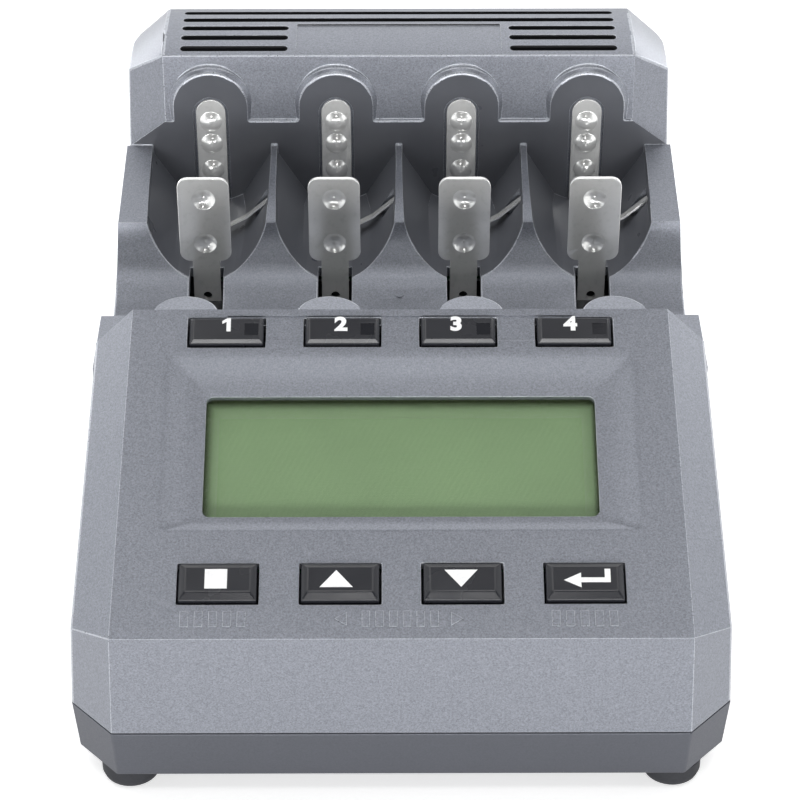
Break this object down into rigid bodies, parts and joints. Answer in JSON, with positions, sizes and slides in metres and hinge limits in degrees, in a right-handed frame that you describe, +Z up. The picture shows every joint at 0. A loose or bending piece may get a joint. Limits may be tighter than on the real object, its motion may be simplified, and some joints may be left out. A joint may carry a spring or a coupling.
{
  "type": "battery charger",
  "caption": "Desktop charger for round cells: sloped console with display and keys, open bays with sprung sliding contacts across a finger scoop, ventilated rear block and power inlet.",
  "frame": {"origin": "on the table, under the middle of the case", "axes": "+X right seen from the console, +Y from the console towards the rear block, +Z up"},
  "size_m": [0.106, 0.151, 0.067],
  "materials": {
    "shell_grey": "fine sparkle texture, satin",
    "base_grey": "fine sparkle texture, satin",
    "key_black": "satin",
    "lamp_dark": "clear smoked light pipe",
    "window_clear": "clear",
    "lcd_green": "unlit",
    "frame_white": "plain",
    "board_green": "solder mask",
    "switch_black": "plain",
    "plunger_tan": "plain",
    "contact_nickel": "bright nickel",
    "spring_steel": "drawn wire",
    "carriage_black": "smooth",
    "foot_rubber": "matte",
    "screw_steel": "zinc plated",
    "sink_aluminium": "extruded",
    "fan_black": "smooth",
    "jack_black": "moulded",
    "socket_shell": "tinned"
  },
  "bodies": {
    "housing": {"upper_shell": "shell_grey", "base_shell": "base_grey", "case_screws": "screw_steel", "display_window": "window_clear", "lcd_panel": "lcd_green", "lcd_frame": "frame_white", "control_board": "board_green", "switch_bodies": "switch_black", "main_board": "board_green", "heat_sink": "sink_aluminium", "board_screws": "screw_steel", "fan_frame": "fan_black", "dc_jack": "jack_black", "usb_socket": "socket_shell", "foot_1": "foot_rubber", "foot_2": "foot_rubber", "foot_3": "foot_rubber", "foot_4": "foot_rubber", "positive_contact_1": "contact_nickel", "positive_contact_2": "contact_nickel", "positive_contact_3": "contact_nickel", "positive_contact_4": "contact_nickel", "slider_spring_1": "spring_steel", "slider_spring_2": "spring_steel", "slider_spring_3": "spring_steel", "slider_spring_4": "spring_steel"},
    "rotor": {"fan_rotor": "fan_black"},
    "slot_button_1": {"slot_key_1": "key_black", "slot_key_lamp_1": "lamp_dark", "switch_plunger_1": "plunger_tan"},
    "slot_button_2": {"slot_key_2": "key_black", "slot_key_lamp_2": "lamp_dark", "switch_plunger_2": "plunger_tan"},
    "slot_button_3": {"slot_key_3": "key_black", "slot_key_lamp_3": "lamp_dark", "switch_plunger_3": "plunger_tan"},
    "slot_button_4": {"slot_key_4": "key_black", "slot_key_lamp_4": "lamp_dark", "switch_plunger_4": "plunger_tan"},
    "stop_button": {"stop_key": "key_black", "switch_plunger_5": "plunger_tan"},
    "up_button": {"up_key": "key_black", "switch_plunger_6": "plunger_tan"},
    "down_button": {"down_key": "key_black", "switch_plunger_7": "plunger_tan"},
    "enter_button": {"enter_key": "key_black", "switch_plunger_8": "plunger_tan"},
    "slider_1": {"slider_contact_1": "contact_nickel", "slider_carriage_1": "carriage_black"},
    "slider_2": {"slider_contact_2": "contact_nickel", "slider_carriage_2": "carriage_black"},
    "slider_3": {"slider_contact_3": "contact_nickel", "slider_carriage_3": "carriage_black"},
    "slider_4": {"slider_contact_4": "contact_nickel", "slider_carriage_4": "carriage_black"},
    "leaf_1": {"temperature_leaf_1": "contact_nickel"},
    "leaf_2": {"temperature_leaf_2": "contact_nickel"},
    "leaf_3": {"temperature_leaf_3": "contact_nickel"},
    "leaf_4": {"temperature_leaf_4": "contact_nickel"}
  },
  "joints": [
    {"name": "slot_key_1_press", "type": "slide", "parent": "housing", "child": "slot_button_1", "axis": [0, 0.4056, -0.9141], "range_m": [0, 0.0005], "stiffness_N_per_m": 1500, "springref_m": -0.0003},
    {"name": "slot_key_2_press", "type": "slide", "parent": "housing", "child": "slot_button_2", "axis": [0, 0.4056, -0.9141], "range_m": [0, 0.0005], "stiffness_N_per_m": 1500, "springref_m": -0.0003},
    {"name": "slot_key_3_press", "type": "slide", "parent": "housing", "child": "slot_button_3", "axis": [0, 0.4056, -0.9141], "range_m": [0, 0.0005], "stiffness_N_per_m": 1500, "springref_m": -0.0003},
    {"name": "slot_key_4_press", "type": "slide", "parent": "housing", "child": "slot_button_4", "axis": [0, 0.4056, -0.9141], "range_m": [0, 0.0005], "stiffness_N_per_m": 1500, "springref_m": -0.0003},
    {"name": "stop_key_press", "type": "slide", "parent": "housing", "child": "stop_button", "axis": [0, 0.4056, -0.9141], "range_m": [0, 0.0005], "stiffness_N_per_m": 1500, "springref_m": -0.0003},
    {"name": "up_key_press", "type": "slide", "parent": "housing", "child": "up_button", "axis": [0, 0.4056, -0.9141], "range_m": [0, 0.0005], "stiffness_N_per_m": 1500, "springref_m": -0.0003},
    {"name": "down_key_press", "type": "slide", "parent": "housing", "child": "down_button", "axis": [0, 0.4056, -0.9141], "range_m": [0, 0.0005], "stiffness_N_per_m": 1500, "springref_m": -0.0003},
    {"name": "enter_key_press", "type": "slide", "parent": "housing", "child": "enter_button", "axis": [0, 0.4056, -0.9141], "range_m": [0, 0.0005], "stiffness_N_per_m": 1500, "springref_m": -0.0003},
    {"name": "slider_1_travel", "type": "slide", "parent": "housing", "child": "slider_1", "axis": [0, -1, 0], "range_m": [0, 0.04], "stiffness_N_per_m": 80, "springref_m": -0.012, "deforming": ["slider_spring_1"]},
    {"name": "slider_2_travel", "type": "slide", "parent": "housing", "child": "slider_2", "axis": [0, -1, 0], "range_m": [0, 0.04], "stiffness_N_per_m": 80, "springref_m": -0.012, "deforming": ["slider_spring_2"]},
    {"name": "slider_3_travel", "type": "slide", "parent": "housing", "child": "slider_3", "axis": [0, -1, 0], "range_m": [0, 0.04], "stiffness_N_per_m": 80, "springref_m": -0.012, "deforming": ["slider_spring_3"]},
    {"name": "slider_4_travel", "type": "slide", "parent": "housing", "child": "slider_4", "axis": [0, -1, 0], "range_m": [0, 0.04], "stiffness_N_per_m": 80, "springref_m": -0.012, "deforming": ["slider_spring_4"]},
    {"name": "leaf_1_flex", "type": "hinge", "parent": "housing", "child": "leaf_1", "pos_m": [-0.02442, 0.0412, 0.0431], "axis": [0, 1, 0], "range_deg": [-3, 0], "stiffness_Nm_per_rad": 0.01, "springref_deg": 171.89},
    {"name": "leaf_2_flex", "type": "hinge", "parent": "housing", "child": "leaf_2", "pos_m": [-0.00068, 0.0412, 0.0431], "axis": [0, 1, 0], "range_deg": [-3, 0], "stiffness_Nm_per_rad": 0.01, "springref_deg": 171.89},
    {"name": "leaf_3_flex", "type": "hinge", "parent": "housing", "child": "leaf_3", "pos_m": [0.02307, 0.0412, 0.0431], "axis": [0, 1, 0], "range_deg": [-3, 0], "stiffness_Nm_per_rad": 0.01, "springref_deg": 171.89},
    {"name": "leaf_4_flex", "type": "hinge", "parent": "housing", "child": "leaf_4", "pos_m": [0.04682, 0.0412, 0.0431], "axis": [0, 1, 0], "range_deg": [-3, 0], "stiffness_Nm_per_rad": 0.01, "springref_deg": 171.89},
    {"name": "fan_spin", "type": "hinge", "parent": "housing", "child": "rotor", "pos_m": [-0.014, 0.072, 0.0395], "axis": [0, 1, 0], "continuous": true}
  ]
}
